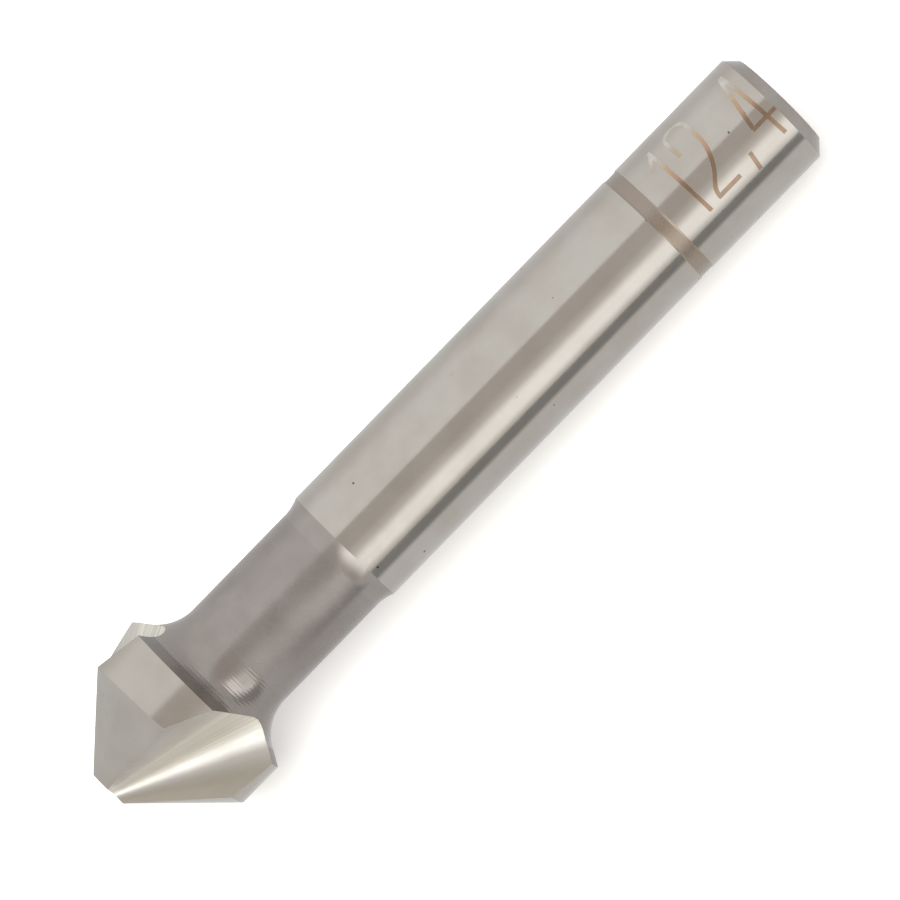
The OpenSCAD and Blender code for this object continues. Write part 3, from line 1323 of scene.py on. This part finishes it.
@dataclass(frozen=True)
class Studio:
    """Pale floor, soft lamp and light tent, with turns counted about the tool from the camera.

    Attributes:
        floor_size: Length of the floor's sides, in metres.
        floor_drop: Distance of the floor below the tool, which keeps their faces apart, in metres.
        floor_colour: Colour of the floor, as sRGB hex.
        floor_roughness: Roughness of the floor.
        floor_specular: Strength of the floor's gloss.
        floor_lift: Light that the camera sees the floor add to its own.
        floor_mirrored: Brightness of the floor as the steel mirrors it.
        tent: Turn in degrees and sRGB hex colour of the tent round the tool, from far to near side.
        lamp_size: Diameter of the lamp, in metres.
        lamp_power: Power of the lamp, in watts.
        lamp_place: Place of the lamp, in metres.
    """

    floor_size: float = 2.0
    floor_drop: float = 0.00001
    floor_colour: str = "e6e5e2"
    floor_roughness: float = 0.9
    floor_specular: float = 0.1
    floor_lift: float = 0.4
    floor_mirrored: float = 0.74
    tent: Stops = (
        (-118, "dfdfdf"), (-88, "f4f4f4"), (-24, "f8f8f8"), (-20.8, "f6f6f6"), (-20.4, "cbc6c2"),
        (6, "cac5c1"), (18, "e2deda"), (60, "cfccc7"),
    )
    lamp_size: float = 0.8
    lamp_power: float = 5.0
    lamp_place: tuple[float, float, float] = (-0.2, -0.1, 0.7)

    def floor(self) -> None:
        """Makes the floor of pale paper, which looks white to the camera and keeps the shadow."""
        bm = bmesh.new()
        bmesh.ops.create_grid(bm, x_segments=1, y_segments=1, size=self.floor_size / 2)
        made = as_object("floor", bm)
        made.location.z = -self.floor_drop
        material = bpy.data.materials.new("pale_paper")
        material.use_nodes = True
        tree = material.node_tree
        shader = tree.nodes["Principled BSDF"]
        shader.inputs["Base Color"].default_value = linear(self.floor_colour)
        shader.inputs["Roughness"].default_value = self.floor_roughness
        shader.inputs["Specular IOR Level"].default_value = self.floor_specular
        shader.inputs["Emission Color"].default_value = WHITE
        path = add(tree, "LightPath")
        lift = add(tree, "Math", {0: path.outputs["Is Camera Ray"], 1: self.floor_lift}, operation="MULTIPLY")
        tree.links.new(lift.outputs[0], shader.inputs["Emission Strength"])
        plain = add(tree, "Emission", {"Color": WHITE, "Strength": self.floor_mirrored})
        glossy = path.outputs["Is Glossy Ray"]
        seen = add(tree, "MixShader", {0: glossy, 1: shader.outputs[0], 2: plain.outputs[0]})
        tree.links.new(seen.outputs[0], tree.nodes["Material Output"].inputs["Surface"])
        made.data.materials.append(material)

    def sky(self, framing: Framing, pose: RestPose) -> None:
        """Makes the world: white to the camera, and a light tent to everything else.

        Args:
            framing: The photograph's view, from which the tent's turns are counted.
            pose: How the tool lies.
        """
        world = bpy.data.worlds.new("light_tent")
        world.use_nodes = True
        bpy.context.scene.world = world
        tree = world.node_tree
        tree.nodes.clear()
        back, across = pose.facing(framing.seen_from), pose.facing(framing.seen_from + 90)
        way = add(tree, "TexCoord").outputs["Generated"]
        tent = turn_colour(tree, way, back, across, self.tent)
        seen = layered(tree, tent, (add(tree, "LightPath").outputs["Is Camera Ray"], WHITE))
        light = add(tree, "Background", {"Color": seen, "Strength": 1.0})
        add(tree, "OutputWorld", {"Surface": light.outputs[0]})

    def lamp(self) -> None:
        """Makes the soft lamp overhead, whose shadow lies on the floor."""
        data = bpy.data.lights.new("soft_lamp", "AREA")
        data.shape = "DISK"
        data.size = self.lamp_size
        data.energy = self.lamp_power
        lamp = bpy.data.objects.new("soft_lamp", data)
        place = Vector(self.lamp_place)
        lamp.location = place
        lamp.rotation_euler = place.to_track_quat("Z", "Y").to_euler()
        lamp.visible_glossy = False
        lamp.visible_camera = False
        bpy.context.scene.collection.objects.link(lamp)


@dataclass(frozen=True)
class Card:
    """A card that only the tool's polished faces mirror.

    Attributes:
        name: Name of the card.
        level: Brightness at its middle.
        half: Half of its size across and along the tool, in millimetres.
        soft: Share of each half over which it fades out.
    """

    name: str
    level: float
    half: tuple[float, float]
    soft: tuple[float, float]

    def place(self, framing: Framing, pose: RestPose) -> Matrix:
        """Works out where the card stands.

        Args:
            framing: The photograph's view, from which turns are counted.
            pose: How the tool lies.

        Returns:
            Its place, with its X axis across and its Y axis along the tool.
        """
        raise NotImplementedError

    def build(self, framing: Framing, pose: RestPose) -> None:
        """Makes the card.

        Args:
            framing: The photograph's view, from which turns are counted.
            pose: How the tool lies.
        """
        bm = bmesh.new()
        bmesh.ops.create_grid(bm, x_segments=1, y_segments=1, size=1)
        made = as_object(self.name, bm)
        size = Matrix.Diagonal((self.half[0] * MM, self.half[1] * MM, 1, 1))
        made.matrix_world = self.place(framing, pose) @ size
        made.visible_camera = False
        made.visible_diffuse = False
        made.visible_shadow = False
        made.visible_transmission = False
        made.data.materials.append(self.glow())

    def glow(self) -> bpy.types.Material:
        """Makes the card's material.

        Returns:
            Plain light, even in the middle and fading to clear at the edges.
        """
        material = bpy.data.materials.new(self.name)
        material.use_nodes = True
        tree = material.node_tree
        tree.nodes.clear()
        spot = add(tree, "SeparateXYZ", {"Vector": add(tree, "TexCoord").outputs["Object"]})
        fades = []
        for side, soft in zip("XY", self.soft):
            size = add(tree, "Math", {0: spot.outputs[side]}, operation="ABSOLUTE").outputs[0]
            fade = add(tree, "MapRange", {
                "Value": size, "From Min": 1.0, "From Max": 1 - soft,
            }, interpolation_type="SMOOTHSTEP")
            fades.append(fade.outputs["Result"])
        share = add(tree, "Math", {0: fades[0], 1: fades[1]}, operation="MULTIPLY").outputs[0]
        light = add(tree, "Emission", {"Color": WHITE, "Strength": self.level})
        clear = add(tree, "BsdfTransparent")
        mixed = add(tree, "MixShader", {0: share, 1: clear.outputs[0], 2: light.outputs[0]})
        add(tree, "OutputMaterial", {"Surface": mixed.outputs[0]})
        return material


@dataclass(frozen=True)
class TentCard(Card):
    """A card that stands round the tool and faces it.

    Attributes:
        turn: Turn about the tool from the camera, in degrees.
        lean: Lean from square to the tool towards its shank, in degrees.
        height: Height on the tool of the point that it faces, in millimetres.
        distance: Distance from that point, in millimetres.
    """

    turn: float = 0.0
    lean: float = 0.0
    height: float = 0.0
    distance: float = 100.0

    def place(self, framing: Framing, pose: RestPose) -> Matrix:
        """Works out where the card stands.

        Args:
            framing: The photograph's view, from which turns are counted.
            pose: How the tool lies.

        Returns:
            Its place, with its X axis across and its Y axis along the tool.
        """
        around = Matrix.Rotation(math.radians(framing.seen_from + self.turn), 4, "Z")
        leaning = Matrix.Rotation(math.radians(-self.lean), 4, "Y")
        facing = Matrix.Rotation(math.pi / 2, 4, "Y") @ Matrix.Rotation(math.pi / 2, 4, "Z")
        stand = Matrix.Translation((self.distance * MM, 0, 0)) @ facing
        foot = Matrix.Translation(pose.matrix @ Vector((0, 0, self.height)))
        return foot @ pose.turned @ around @ leaning @ stand


@dataclass(frozen=True)
class FloorCard(Card):
    """A card that lies on the floor beside the tool.

    Attributes:
        middle: Place of its middle on the floor, in millimetres.
        lift: Height above the floor, in millimetres.
    """

    middle: tuple[float, float] = (0, 0)
    lift: float = 0.1

    def place(self, framing: Framing, pose: RestPose) -> Matrix:
        """Works out where the card lies.

        Args:
            framing: The photograph's view. A card on the floor doesn't need it.
            pose: How the tool lies. A card on the floor doesn't need it.

        Returns:
            Its place, with its X axis across and its Y axis along the tool.
        """
        spot = Matrix.Translation(Vector((*self.middle, self.lift)) * MM)
        return spot @ Matrix.Rotation(math.pi / 2, 4, "Z")


# Reflectors beside the tool, which give the bright and dark bands on its polished faces
CARDS = (
    TentCard("shank_card", 1.36, (34, 81), (0.75, 0.02), turn=40, height=96, distance=80),
    TentCard("hollow_card", 2.0, (30, 57), (0.4, 0.3), turn=40, height=119, distance=78),
    TentCard("far_card", 2.0, (105, 105), (0.35, 0.5), turn=50, height=165, distance=300),
    TentCard("tip_card", 2.35, (145, 86), (0.7, 1.0), turn=52, lean=-45, height=5, distance=110),
    FloorCard("dark_strip", 0.31, (73, 27), (0.1, 0.2), middle=(10.5, -87)),
)


def main() -> None:
    """Builds the tool, its studio and its camera."""
    sizes = ToolSizes()
    walls = FluteWalls(sizes)
    pose = RestPose(sizes, walls)
    body = ToolBody(sizes, walls, pose)
    tool = body.build()
    body.dress(tool)
    LOG.info("%s: %d faces", tool.name, len(tool.data.polygons))
    framing = Framing()
    framing.build(pose)
    studio = Studio()
    studio.floor()
    studio.sky(framing, pose)
    studio.lamp()
    for card in CARDS:
        card.build(framing, pose)


if __name__ == "__main__":
    logging.basicConfig(level=logging.INFO, format="%(message)s")
    bpy.context.scene.view_settings.view_transform = "Standard"
    main()
